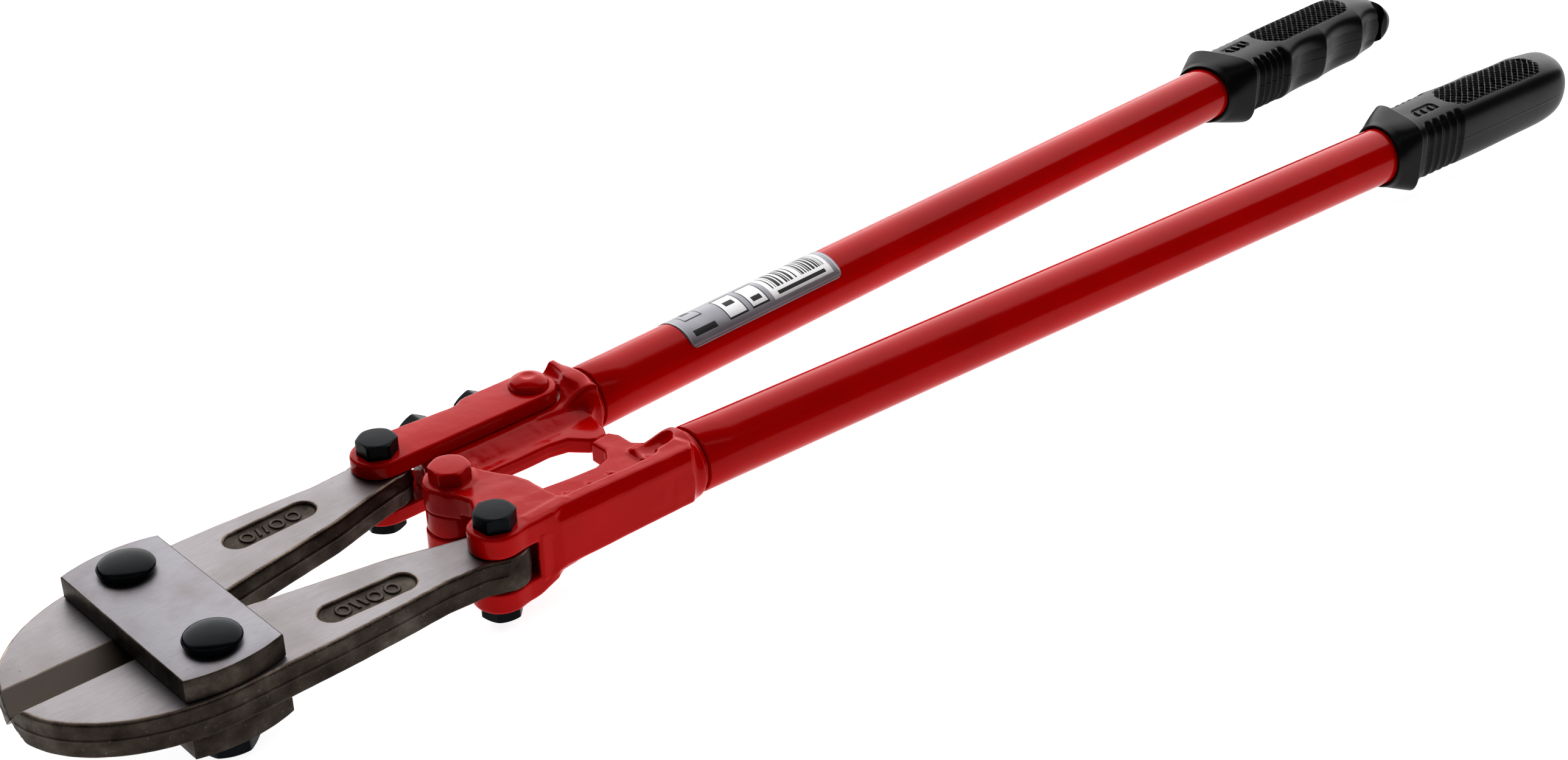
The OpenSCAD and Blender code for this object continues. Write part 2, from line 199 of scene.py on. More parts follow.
def outline_normals(outline):
    """Outward mitred normals of a closed outline that runs anticlockwise."""
    both = 0
    for edge in (np.roll(outline, -1, 0) - outline, outline - np.roll(outline, 1, 0)):
        normal = np.column_stack([edge[:, 1], -edge[:, 0]])
        both = both + normal / (np.linalg.norm(normal, axis=1)[:, None] + 1e-9)
    return both / np.maximum(0.5, np.linalg.norm(both, axis=1) ** 2 / 2)[:, None]


def anticlockwise(outline):
    x, y = np.array(outline).T
    area = np.sum(x * np.roll(y, -1) - np.roll(x, -1) * y)
    return list(outline) if area > 0 else list(outline)[::-1]


def prism(outline, levels, step=1.2, wobble=0.0):
    """A plan outline raised through (z, outset) levels, as on a forging with soft edges."""
    base = resample(anticlockwise(outline), step)
    normal = outline_normals(base)
    lump = np.zeros(len(base))
    if wobble:
        t = np.linspace(0, 2 * math.pi, len(base), endpoint=False)
        for k in range(5, 60, 3):
            lump += np.sin(k * t + rng.uniform(0, 6.3)) * rng.uniform(0, 1)
        lump *= wobble / np.abs(lump).max()
    return loft([np.column_stack([base + normal * (outset + lump)[:, None], np.full(len(base), z)])
                 for z, outset in levels])


def facing(part, face):
    """A part built upwards, or its mirror image below the mid-plane when face is -1."""
    points, faces = part
    points[:, 2] *= face
    return points, faces if face > 0 else [tuple(reversed(f)) for f in faces]


def drill(obj, r, at, z0, z1, segments=64, side=1):
    """Cuts an upright hole with a throwaway cutter."""
    points, faces = revolve([(r, z0), (r, z1)], segments)
    cutter = add_mesh("cutter", points + np.array([at[0], at[1], 0]), faces, side, False)
    mod = obj.modifiers.new("cut", "BOOLEAN")
    mod.object = cutter
    mod.operation = "DIFFERENCE"
    mod.solver = "EXACT"
    depsgraph = bpy.context.evaluated_depsgraph_get()
    mesh = bpy.data.meshes.new_from_object(obj.evaluated_get(depsgraph))
    obj.modifiers.clear()
    obj.data = mesh
    bpy.data.objects.remove(cutter)


def join_parts(parts):
    """One list of points and faces from several."""
    points, faces, start = [], [], 0
    for p, f in parts:
        points.append(np.asarray(p, float))
        faces += [tuple(i + start for i in face) for face in f]
        start += len(p)
    return np.concatenate(points), faces


# ------------ distance fields, for castings

def polygon_distance(x, y, outline):
    """Signed distance from a plan grid to a polygon, negative inside."""
    pts = np.array(outline, float)
    best = np.full(x.shape, 1e9)
    inside = np.zeros(x.shape, bool)
    for (ax, ay), (bx, by) in zip(pts, np.roll(pts, -1, 0)):
        ex, ey = bx - ax, by - ay
        t = np.clip(((x - ax) * ex + (y - ay) * ey) / (ex * ex + ey * ey), 0, 1)
        best = np.minimum(best, (x - ax - t * ex) ** 2 + (y - ay - t * ey) ** 2)
        if ay != by:
            crosses = ((ay > y) != (by > y)) & (x < (bx - ax) * (y - ay) / (by - ay) + ax)
            inside ^= crosses
    return np.sqrt(best) * np.where(inside, -1, 1)


def slab_field(plan, z, z0, z1, r=1.0):
    """A plan distance raised between two heights, with edges rounded by r."""
    a = plan + r
    b = np.abs(z - (z0 + z1) / 2) - (z1 - z0) / 2 + r
    return np.minimum(np.maximum(a, b), 0) + np.hypot(np.maximum(a, 0), np.maximum(b, 0)) - r


def polygon_slab(x, y, z, outline, z0, z1, r):
    """A polygon in plan raised between two heights, with edges rounded by r."""
    return slab_field(polygon_distance(x, y, outline)[:, :, None], z, z0, z1, r)


def blend_min(a, b, k):
    """Union of two fields with a fillet of about k."""
    h = np.clip(0.5 + 0.5 * (b - a) / k, 0, 1)
    return b * (1 - h) + a * h - k * h * (1 - h)


def blend_max(a, b, k):
    """Overlap of two fields with an edge rounded by about k."""
    return -blend_min(-a, -b, k)


def lumps(x, y, z, size, shortest, longest):
    """Seeded unevenness of a forged or cast skin, at most size high."""
    total = np.zeros(x.shape, np.float32)
    waves = 14
    for _ in range(waves):
        wave = rng.uniform(shortest, longest)
        turn, lift = rng.uniform(0, 2 * math.pi), rng.uniform(-0.9, 0.9)
        flat = math.sqrt(1 - lift * lift) * 2 * math.pi / wave
        phase = (x * (math.cos(turn) * flat) + y * (math.sin(turn) * flat)
                 + z * (lift * 2 * math.pi / wave) + rng.uniform(0, 6.3))
        total += np.sin(phase.astype(np.float32)) * (wave / longest)
    return size * total / math.sqrt(waves)


def field_mesh(field, low, step):
    """Points and faces of a field's zero surface."""
    grid = openvdb.FloatGrid(3.0)
    grid.copyFromArray(np.ascontiguousarray(np.clip(field, -3, 3), dtype=np.float32))
    points, _, quads = grid.convertToPolygons(isovalue=0.0, adaptivity=0.0)
    return np.asarray(points) * step + np.array(low), np.asarray(quads)[:, ::-1].tolist()


def grid_axes(low, high, step):
    """Coordinates of a box's grid points."""
    axes = [np.arange(a, b + step, step) for a, b in zip(low, high)]
    return np.meshgrid(*axes, indexing="ij")


# ------------ material helpers

class Nodes:
    """Short names for building one material's nodes."""

    def __init__(self, name, **settings):
        self.material = bpy.data.materials.new(name)
        self.material.use_nodes = True
        self.tree = self.material.node_tree
        self.shader = next(n for n in self.tree.nodes if n.type == "BSDF_PRINCIPLED")
        for key, value in settings.items():
            self.shader.inputs[key.replace("_", " ")].default_value = value
        self.coords = self.node("ShaderNodeTexCoord").outputs["Object"]

    def link(self, source, target):
        self.tree.links.new(source, target)

    def node(self, kind, inputs=None, **settings):
        """A node whose inputs are linked, set to a number or a colour, or left alone on None."""
        made = self.tree.nodes.new(kind)
        for key, value in settings.items():
            setattr(made, key, value)
        for key, value in (inputs or {}).items():
            socket = made.inputs[key]
            if isinstance(value, bpy.types.NodeSocket):
                self.link(value, socket)
            elif value is not None:
                socket.default_value = (*value, 1) if socket.type == "RGBA" else value
        return made

    def mapped(self, scale, turn=0.0):
        return self.node("ShaderNodeMapping", {
            "Vector": self.coords, "Scale": scale, "Rotation": (0, 0, turn)}).outputs["Vector"]

    def noise(self, scale, detail=3.0, vector=None, roughness=0.55):
        return self.node("ShaderNodeTexNoise", {
            "Vector": self.coords if vector is None else vector, "Scale": scale,
            "Detail": detail, "Roughness": roughness}).outputs["Fac"]

    def ramp(self, value, stops):
        node = self.node("ShaderNodeValToRGB", {"Fac": value})
        while len(node.color_ramp.elements) < len(stops):
            node.color_ramp.elements.new(0.5)
        for element, (place, colour) in zip(node.color_ramp.elements, stops):
            element.position = place
            element.color = (*colour, 1)
        return node.outputs["Color"]

    def span(self, value, low, high):
        """Maps 0..1 to low..high."""
        return self.node("ShaderNodeMapRange", {
            "Value": value, "To Min": low, "To Max": high}).outputs["Result"]

    def math(self, operation, a, b=None):
        return self.node("ShaderNodeMath", {0: a, 1: b}, operation=operation).outputs["Value"]

    def mix(self, factor, a, b):
        return self.node("ShaderNodeMix", {"Factor": factor, 6: a, 7: b},
                         data_type="RGBA").outputs[2]

    def bump(self, height, strength, distance, under=None):
        return self.node("ShaderNodeBump", {
            "Height": height, "Strength": strength, "Distance": distance,
            "Normal": under}).outputs["Normal"]

    def wire(self, **links):
        for key, source in links.items():
            self.link(source, self.shader.inputs[key.replace("_", " ")])
        return self.material


def enamel(name, lump, lump_size, rough):
    """Glossy red paint; lump is the height of the casting's unevenness under it, in metres."""
    m = Nodes(name, Specular_IOR_Level=0.2)
    patch = m.noise(22, 2)
    speck = m.noise(900, 2)
    colour = m.ramp(patch, [(0.3, (0.47, 0.0, 0.0)), (0.7, (0.55, 0.0, 0.001))])
    colour = m.mix(m.ramp(speck, [(0.73, BLACK), (0.79, (0.35, 0.35, 0.35))]), colour,
                   (0.25, 0.0, 0.0))
    wave = m.bump(m.noise(lump_size, 2), 1.0, lump)
    peel = m.bump(m.noise(420, 2), 0.5, 0.00003, wave)
    return m.wire(Base_Color=colour, Roughness=m.span(m.noise(60, 3), rough, rough + 0.10),
                  Normal=peel)


def ground_steel(name, turn, tint, stain):
    """Surface-ground steel, with fine lines along one direction and faint stains."""
    m = Nodes(name, Metallic=1.0)
    lines = m.noise(1.0, 5, m.mapped((160, 4200, 160), turn), 0.7)
    fine = m.noise(1.0, 3, m.mapped((60, 9000, 60), turn), 0.6)
    cloud = m.noise(38, 4)
    base = m.ramp(lines, [(0.25, tuple(0.80 * c for c in tint)), (0.6, tint),
                          (0.8, tuple(min(1, 1.14 * c) for c in tint))])
    spot = m.ramp(cloud, [(0.42, BLACK), (0.70, WHITE)])
    colour = m.mix(m.math("MULTIPLY", spot, 0.55), base, stain)
    pits = m.ramp(m.noise(700, 2), [(0.23, WHITE), (0.27, BLACK)])
    colour = m.mix(m.math("MULTIPLY", pits, 0.4), colour, (0.06, 0.05, 0.05))
    normal = m.bump(m.math("ADD", lines, m.math("MULTIPLY", fine, 0.6)), 0.5, 0.00005)
    return m.wire(Base_Color=colour, Roughness=m.span(cloud, 0.40, 0.54), Normal=normal)


def forged_steel(name, level=1.0):
    """Dark forging skin, oiled, with brighter rubbed spots; level brightens all of it, and a high
    level gives the lit copy that paints a highlight on the jaws' top rim.
    """
    m = Nodes(name, Metallic=0.85)
    cloud = m.noise(90, 5)
    grain = m.noise(650, 4)
    stops = [(0.3, (0.035, 0.026, 0.021)), (0.55, (0.085, 0.068, 0.056)),
             (0.78, (0.17, 0.15, 0.13))]
    colour = m.ramp(cloud, [(at, tuple(level * c for c in tone)) for at, tone in stops])
    rub = m.ramp(grain, [(0.62, BLACK), (0.78, (0.35, 0.35, 0.35))])
    colour = m.mix(rub, colour, (0.34, 0.31, 0.29))
    skin = m.bump(grain, 0.6, 0.00012, m.bump(cloud, 0.7, 0.0004))
    return m.wire(Base_Color=colour, Roughness=m.span(grain, 0.34, 0.62), Normal=skin)


def grinding_lines(name):
    """The cutting bevels: close, even grinding lines across the edge, on warm grey steel."""
    m = Nodes(name, Metallic=1.0)
    wave = m.node("ShaderNodeTexWave", {"Vector": m.coords, "Scale": 1300, "Distortion": 0.6,
                                        "Detail": 2}, wave_type="BANDS",
                  bands_direction="Y").outputs["Fac"]
    cloud = m.noise(120, 3)
    stripe = m.ramp(wave, [(0.2, (0.13, 0.105, 0.09)), (0.8, (0.42, 0.37, 0.33))])
    colour = m.mix(m.span(cloud, 0.1, 0.5), stripe, (0.30, 0.27, 0.25))
    normal = m.bump(wave, 0.6, 0.00004)
    return m.wire(Base_Color=colour, Roughness=m.span(cloud, 0.38, 0.5), Normal=normal)


def black_oxide(name, rough_low, rough_high):
    """Blackened, oiled steel with faint dust and scuffs."""
    m = Nodes(name, Specular_IOR_Level=0.14)
    cloud = m.noise(160, 4)
    scuff = m.ramp(m.noise(1.0, 4, m.mapped((900, 250, 500), 0.6), 0.7),
                   [(0.66, BLACK), (0.76, (0.4, 0.4, 0.4))])
    base = m.ramp(cloud, [(0.3, (0.004, 0.005, 0.007)), (0.75, (0.012, 0.015, 0.020))])
    colour = m.mix(scuff, base, (0.06, 0.06, 0.065))
    normal = m.bump(m.noise(1200, 2), 0.4, 0.00003, m.bump(cloud, 0.4, 0.00012))
    return m.wire(Base_Color=colour, Roughness=m.span(cloud, rough_low, rough_high), Normal=normal)


def moulded_plastic(name):
    """Black satin plastic with a fine spark-eroded grain."""
    m = Nodes(name, Specular_IOR_Level=0.24)
    cloud = m.noise(35, 3)
    colour = m.ramp(cloud, [(0.3, (0.007, 0.0073, 0.008)), (0.75, (0.012, 0.0125, 0.014))])
    normal = m.bump(m.noise(2600, 2), 0.35, 0.00004, m.bump(m.noise(70, 2), 0.3, 0.0002))
    return m.wire(Base_Color=colour, Roughness=m.span(m.noise(240, 3), 0.28, 0.38), Normal=normal)


def label_print(name):
    """Silver foil printed with a thin border and plain bars and boxes."""
    m = Nodes(name, Metallic=0.35)
    uv = m.node("ShaderNodeSeparateXYZ", {"Vector": m.node("ShaderNodeTexCoord").outputs["UV"]})
    u, v = uv.outputs["X"], uv.outputs["Y"]

    def within(value, low, high):
        return m.math("MULTIPLY", m.math("GREATER_THAN", value, low),
                      m.math("LESS_THAN", value, high))

    def patch(u0, u1, v0, v1):
        return m.math("MULTIPLY", within(u, u0, u1), within(v, v0, v1))

    def outlined(u0, u1, v0, v1):
        edge_u, edge_v = 0.006, 0.024
        return m.math("SUBTRACT", patch(u0, u1, v0, v1),
                      patch(u0 + edge_u, u1 - edge_u, v0 + edge_v, v1 - edge_v))

    def total(*parts):
        return functools.reduce(lambda out, part: m.math("MAXIMUM", out, part), parts)

    border = outlined(0.008, 0.992, 0.025, 0.975)
    white = total(patch(0.56, 0.96, 0.10, 0.66), patch(0.27, 0.39, 0.12, 0.52),
                  patch(0.42, 0.53, 0.12, 0.52))
    code = m.node("ShaderNodeTexWhiteNoise", {
        "W": m.math("FLOOR", m.math("MULTIPLY", u, 240))}, noise_dimensions="1D")
    stripes = m.math("MULTIPLY", m.math("GREATER_THAN", code.outputs["Value"], 0.48),
                     patch(0.58, 0.94, 0.24, 0.62))
    dark = total(outlined(0.27, 0.39, 0.12, 0.52), outlined(0.42, 0.53, 0.12, 0.52), stripes,
                 patch(0.30, 0.36, 0.30, 0.38), patch(0.445, 0.505, 0.20, 0.27),
                 patch(0.60, 0.92, 0.14, 0.19), patch(0.05, 0.19, 0.12, 0.20),
                 outlined(0.06, 0.17, 0.36, 0.76), patch(0.09, 0.14, 0.50, 0.62))
    grey = total(patch(0.30, 0.53, 0.66, 0.71), patch(0.30, 0.48, 0.78, 0.82))
    foil = m.ramp(m.noise(60, 3), [(0.3, (0.24, 0.24, 0.26)), (0.75, (0.34, 0.34, 0.37))])
    colour = m.mix(border, foil, (0.42, 0.42, 0.45))
    colour = m.mix(grey, colour, (0.10, 0.10, 0.11))
    colour = m.mix(white, colour, (0.66, 0.66, 0.67))
    colour = m.mix(dark, colour, (0.008, 0.008, 0.010))
    normal = m.bump(m.noise(180, 2), 0.3, 0.00005)
    return m.wire(Base_Color=colour, Roughness=m.span(m.noise(90, 2), 0.28, 0.4), Normal=normal)


CAST_RED = enamel("cast_red_enamel", 0.00022, 150, 0.13)
TUBE_RED = enamel("tube_red_enamel", 0.00006, 60, 0.10)
JAW_GROUND = {side: ground_steel(f"jaw_ground_{name}", 0.06 * side, (0.27, 0.255, 0.262),
                                 (0.20, 0.183, 0.177)) for side, name in SIDES}
PLATE_GROUND = ground_steel("plate_ground", 1.5, (0.25, 0.242, 0.258), (0.165, 0.125, 0.11))
FORGED = forged_steel("forged_sides", 0.85)
# a much brighter copy of the forged skin for the jaws' rounded top rim: a painted highlight
PAINTED_RIM_HIGHLIGHT = forged_steel("rim_painted_highlight", 2.8)
BEVEL = grinding_lines("ground_bevel")
OXIDE = black_oxide("black_oxide", 0.22, 0.40)
OXIDE_DOME = black_oxide("black_oxide_dome", 0.12, 0.22)
PLASTIC = moulded_plastic("grip_plastic")
LABEL = label_print("label_print")


# ------------ jaws

EDGE_L = 44.0
EDGE_GAP = 0.15
EDGE_LAND = 0.3
BEVEL_W = 6.8
JAW_SIDE = 16.0
JAW_STEP = 0.3
OPEN_PIVOT_PLAY = 2.8
RECESS_L, RECESS_W, RECESS_DEEP = 35.0, 10.4, 1.3
ARM_TURN = math.atan2(TAIL[1] - JAW_BOLT[1], TAIL[0] - JAW_BOLT[0]) - math.radians(2)


def jaw_outline():
    reach, bolt_y = JAW_BOLT
    half_w = bolt_y + JAW_SIDE
    head = [(reach * (1 - math.cos(a)), EDGE_GAP + (half_w - EDGE_GAP) * math.sin(a))
            for a in np.radians(np.linspace(0, 90, 33))]
    arm = [(TAIL[0] - 62, half_w - 0.3), (TAIL[0] - 42, half_w - 1.1), (TAIL[0] - 24, half_w - 2.2),
           (TAIL[0] - 10, half_w - 1.2)]
    tail = arc(TAIL[0], TAIL[1], 11.0, 88, -92, 24)
    inner = [(TAIL[0] - 12, TAIL[1] - 14.0), (TAIL[0] - 30, TAIL[1] - 19.5),
             (reach + 52, 10.8), (reach + 37, 7.9), (reach + 24, 5.2), (reach + 17, 3.8),
             (reach, 1.6), (EDGE_L, 1.6), (EDGE_L, EDGE_GAP)]
    return head + arm + tail + inner


def bevel_distance(y, az):
    """Distance above the ground bevel that runs down to the cutting edge."""
    rise, run = JAW_HALF - EDGE_LAND, BEVEL_W - EDGE_GAP
    return ((az - EDGE_LAND) * run - (y - EDGE_GAP) * rise) / math.hypot(rise, run)


def jaw_field():
    """A forged jaw: drafted, slightly uneven sides with a parting ridge, and flat ground faces."""
    low = (-1.2, -1.2, -JAW_HALF - 1.2)
    high = (TAIL[0] + 13, JAW_BOLT[1] + JAW_SIDE + 1.5, JAW_HALF + 1.2)
    x, y, z = grid_axes(low, high, JAW_STEP)
    az = np.abs(z)
    plan = polygon_distance(x[:, :, 0], y[:, :, 0], jaw_outline())[:, :, None]
    cutting = np.clip((EDGE_L + 1 - x) / 1.0, 0, 1) * np.clip((3.0 - y) / 1.0, 0, 1)
    skin = 0.06 * az - 0.28 * np.exp(-((z - 0.4) / 0.4) ** 2) + lumps(x, y, z, 0.06, 2.4, 9.0)
    side = plan + skin * (1 - cutting)
    body = blend_max(side, az - JAW_HALF, 0.15 + 1.3 * (1 - cutting))
    body = np.maximum(body, np.minimum(bevel_distance(y, az), EDGE_L + 2 - x))
    # an oval recess in the arm, with a plain raised pattern on its floor
    middle_x = JAW_BOLT[0] + 0.53 * (TAIL[0] - JAW_BOLT[0])
    middle_y = JAW_BOLT[1] + 2.6
    c, s = math.cos(ARM_TURN), math.sin(ARM_TURN)
    along = (x - middle_x) * c + (y - middle_y) * s
    across = (y - middle_y) * c - (x - middle_x) * s
    run = (RECESS_L - RECESS_W) / 2
    oval = np.hypot(along - np.clip(along, -run, run), across) - RECESS_W / 2
    floor = JAW_HALF - RECESS_DEEP
    body = blend_max(body, -blend_max(oval + 0.35 * (JAW_HALF - az), floor - az, 0.8), 0.7)
    relief = np.full(x.shape, 1e3)
    for at in (-9.0, 2.6, 9.0):
        relief = np.minimum(relief, np.abs(np.hypot(along - at, across * 0.85) - 2.1) - 0.5)
    for at in (-4.6, -1.8):
        lean = along - at - 0.25 * across
        relief = np.minimum(relief, np.maximum(np.abs(lean) - 0.55, np.abs(across) - 2.3))
    return low, x, y, blend_min(body, np.maximum(relief, np.abs(az - floor) - 0.6), 0.5)


def make_jaw(side, body, node, field, play):
    """Bores the field with play at the jaw bolt, and gives each face its ground or forged skin,
    with a brighter copy of the forged skin on the top rim as a painted highlight.
    """
    low, x, y, solid = field
    for at, r in ((JAW_BOLT, 6.0 + play), (TAIL, 4.05)):
        solid = np.maximum(solid, r - np.hypot(x - at[0], y - at[1]))
    jaw = add_mesh(node + "_forging", *field_mesh(solid, low, JAW_STEP), side)
    mesh = jaw.data
    shade_smooth(mesh, 26)
    finish_piece(jaw, body, node, "jaw_steel", FORGED, JAW_GROUND[side], BEVEL, PAINTED_RIM_HIGHLIGHT)
    for poly in mesh.polygons:
        px, py = (poly.center.x - TIP_X) / MM, abs(poly.center.y) / MM
        pz, up = abs(poly.center.z - MID_Z) / MM, abs(poly.normal.z)
        on_bevel = px < EDGE_L + 2 and abs(bevel_distance(py, pz)) < 0.12 and 0.4 < up < 0.95
        on_top = up > 0.985 and pz > JAW_HALF - 0.05
        # the rounded rim along the top face gets the brighter forged copy, a painted highlight
        on_rim = up > 0.25 and pz > JAW_HALF - 0.55
        poly.material_index = 2 if on_bevel else 1 if on_top else 3 if on_rim else 0


shared_field = jaw_field()
make_jaw(1, "left_jaw", "jaw_left", shared_field, OPEN_PIVOT_PLAY)
make_jaw(-1, "right_jaw", "jaw_right", shared_field, 0.05)


# ------------ plates

def make_plate(node, face):
    lead, trail, side, bulge = 17.0, 17.4, 11.4, 3.0
    x0, x1 = JAW_BOLT[0] - lead, JAW_BOLT[0] + trail
    y_corner = JAW_BOLT[1] + side
    chord = x1 - x0
    r = (chord ** 2 / 4 + bulge ** 2) / (2 * bulge)
    half = math.degrees(math.asin(chord / 2 / r))
    top = arc((x0 + x1) / 2, y_corner + bulge - r, r, 90 - half, 90 + half, 24)
    outline = top + [(x, -y) for x, y in reversed(top)]
    levels = [(PLATE_Z, -0.15), (PLATE_Z + 0.3, 0.0), (PLATE_TOP - 0.45, 0.0),
              (PLATE_TOP - 0.12, -0.12), (PLATE_TOP, -0.42)]
    plate = add_mesh(node + "_blank", *facing(prism(outline, levels, 1.0, 0.06), face))
    below, above = (0, 20) if face > 0 else (-20, 0)
    for s in (-1, 1):
        drill(plate, 6.02, (JAW_BOLT[0], s * JAW_BOLT[1]), below, above)
    mesh = plate.data
    shade_smooth(mesh, 30)
    finish_piece(plate, "jaw_plates", node, "plate_steel", FORGED, PLATE_GROUND)
    for poly in mesh.polygons:
        poly.material_index = 1 if abs(poly.normal.z) > 0.97 else 0


make_plate("top_jaw_plate", 1)
make_plate("bottom_jaw_plate", -1)


# ------------ bolts and nuts

def hex_radius(a, af):
    return af / 2 / np.cos((a % (math.pi / 3)) - math.pi / 6)


def hex_rings(af, z0, z1, chamfer_low, chamfer_high, soft=0.35, n=72):
    """A hexagon whose ends are turned to a cone, as on a forged bolt head."""
    a = np.linspace(0, 2 * math.pi, n, endpoint=False)
    edge = hex_radius(a, af)
    edge = edge - soft * np.maximum(0, (edge - af / 2 * 1.10) / (af / 2 * 0.055)) * 0.5
    flat = af / 2 * 0.95
    cone = (edge - flat) * math.tan(math.radians(28))
    rings = [circle(flat, z0, n), circle(edge, z0 + cone, n)] if chamfer_low \
        else [circle(edge, z0, n)]
    if chamfer_high:
        return rings + [circle(edge, z1 - cone, n), circle(flat, z1, n),
                        circle(flat * 0.93, z1 + 0.06, n)]
    return rings + [circle(edge, z1, n)]


def placed(part, x, y, z=0.0, turn=0.0):
    """The part turned about Z and moved."""
    points, faces = part
    c, s = math.cos(turn), math.sin(turn)
    p = np.asarray(points, float)
    return np.column_stack([p[:, 0] * c - p[:, 1] * s + x, p[:, 0] * s + p[:, 1] * c + y,
                            p[:, 2] + z]), faces


def make_hex_bolt(node, body, x, y, half, turn, slot, material):
    end = -half - NUT_H
    shank = revolve([(3.7, end + 0.02), (4.0, end + 0.5), (4.0, half + 0.5)], 48)
    head = loft(hex_rings(HEX_AF, half, half + HEX_H - 0.06, False, True))
    bolt = add_mesh(node + "_turned", *placed(join_parts([shank, head]), x, y, 0, turn))
    finish_piece(bolt, body, node, slot, material)


def make_nut(node, body, x, y, low, af, bore, turn, height=NUT_H):
    outer = hex_rings(af, low, low + height - 0.06, True, True)[:-1]
    inside = [circle(r, z, len(outer[0]))
              for r, z in ((bore + 0.4, low + height - 0.06), (bore, low + height - 0.3),
                           (bore, low + 0.3), (bore + 0.4, low))]
    part = loft(outer + inside + [outer[0]], False, False)
    nut = add_mesh(node + "_turned", *placed(part, x, y, 0, turn))
    finish_piece(nut, body, node, "black_steel", OXIDE)


def make_jaw_bolt(side, name):
    """A domed bolt through both plates and a jaw, and the nut that the tool rests on."""
    top = PLATE_TOP
    crown = [(9.15 * math.cos(a), top + 2.2 + 2.15 * math.sin(a))
             for a in np.radians(np.linspace(0, 86, 12))]
    end = -top - JAW_NUT_H
    profile = [(0.01, end), (5.4, end), (5.95, end + 0.6), (5.95, top),
               (8.6, top), (8.75, top + 0.25), (8.75, top + 0.95), (8.45, top + 1.15),
               (8.75, top + 1.3), (9.3, top + 1.55), (9.35, top + 1.9)] + crown
    bolt = add_mesh(f"jaw_bolt_{name}_turned",
                    *placed(revolve(profile, 96), JAW_BOLT[0], JAW_BOLT[1] * side))
    finish_piece(bolt, "jaw_plates", f"jaw_bolt_{name}", "black_steel", OXIDE_DOME)
    make_nut(f"jaw_nut_{name}", "jaw_plates", JAW_BOLT[0], JAW_BOLT[1] * side, end,
             18.0, 6.0, 0.35 * side, JAW_NUT_H)


for jaw_side in SIDES:
    make_jaw_bolt(*jaw_side)

make_hex_bolt("tail_bolt_left", "left_handle", *TAIL, STRAP_TOP, 0.55, "black_steel", OXIDE)
make_hex_bolt("tail_bolt_right", "right_handle", TAIL[0], -TAIL[1], CAST_HALF, 0.62, "black_steel",
              OXIDE)
make_hex_bolt("centre_bolt", "right_handle", *CENTRE, KNUCKLE_HALF, 0.42, "red_enamel", CAST_RED)
make_nut("tail_nut_left", "left_handle", *TAIL, -STRAP_TOP - NUT_H, HEX_AF, 4.0, 0.3)
make_nut("tail_nut_right", "right_handle", TAIL[0], -TAIL[1], -CAST_HALF - NUT_H, HEX_AF, 4.0, 0.8)
make_nut("centre_nut", "right_handle", *CENTRE, -KNUCKLE_HALF - NUT_H, HEX_AF, 4.0, 0.1)


def make_adjuster(end):
    """A hex screw across the left head, with its lock nut."""
    screw_node, nut_node = f"adjusting_screw_{end}", f"lock_nut_{end}"
    x = tool_xy(screw_node)[0]
    low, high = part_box(screw_node)
    outer = high[1] / MM
    inner = low[1] / MM
    seat = outer - HEX_H
    shank = revolve([(3.6, inner), (4.0, inner + 0.5), (4.0, seat + 0.5)], 48)
    head = loft(hex_rings(HEX_AF, seat, outer - 0.06, False, True))
    nut = loft(hex_rings(HEX_AF, seat - NUT_H, seat, True, False))
    for node, (points, faces) in ((screw_node, join_parts([shank, head])), (nut_node, nut)):
        # built about Z, then laid along Y with a corner of the hexagon up
        laid = np.column_stack([points[:, 1], points[:, 2], points[:, 0]]) + np.array([x, 0, 0])
        piece = add_mesh(node + "_turned", laid, faces)
        finish_piece(piece, "left_handle", node, "black_steel", OXIDE)


make_adjuster("front")
make_adjuster("rear")


# ------------ straps and rivet

def strap_outline():
    r = 9.8
    outer = TAIL[1] + r
    step_x = TAIL[0] + FRONT_SCREW + 12
    return (arc(TAIL[0], TAIL[1], r, 92, 270, 26) + arc(RIVET[0], RIVET[1], r, -90, 90, 26)
            + [(step_x + 4, outer), (step_x + 1.5, outer - 0.6), (step_x - 1.5, outer - 2.2),
               (step_x - 4, outer - 2.5), (TAIL[0] + 16, outer - 0.9)])


def make_strap(node, face):
    round_r = 1.3
    levels = [(PLATE_Z, -0.5), (PLATE_Z + 0.5, 0.0)]
    levels += [(STRAP_TOP - round_r + round_r * math.sin(a), -round_r * (1 - math.cos(a)))
               for a in np.radians(np.linspace(0, 90, 6))]
    strap = add_mesh(node + "_bar", *facing(prism(strap_outline(), levels, 1.2, 0.05), face))
    finish_piece(strap, "left_handle", node, "red_enamel", CAST_RED)


make_strap("top_strap", 1)
make_strap("bottom_strap", -1)


def make_rivet():
    """A headed pin through both straps, its domes pressed flat and dimpled in the middle."""
    dome = [(7.6, -0.3), (7.6, 0.3), (7.3, 0.8)]
    dome += [(7.3 * math.cos(a), 0.8 + 3.5 * math.sin(a)) for a in np.radians(range(10, 66, 8))]
    dome += [(2.7, 4.05), (2.1, 3.85), (1.1, 3.7), (0.01, 3.65)]
    high = revolve([(0.01, -0.3)] + dome, 72)
    low = high[0] * np.array([1, 1, -1]), high[1]
    parts = [placed(high, *RIVET, STRAP_TOP), placed(low, *RIVET, -STRAP_TOP),
             placed(revolve([(4.0, -STRAP_TOP), (4.0, STRAP_TOP)], 48), *RIVET)]
    rivet = add_mesh("strap_rivet_formed", *join_parts(parts))
    finish_piece(rivet, "left_handle", "strap_rivet", "red_enamel", CAST_RED)


make_rivet()


# ------------ castings

CAST_STEP = 0.45
WEB_HALF = 3.0
SLOPE = math.radians(25)


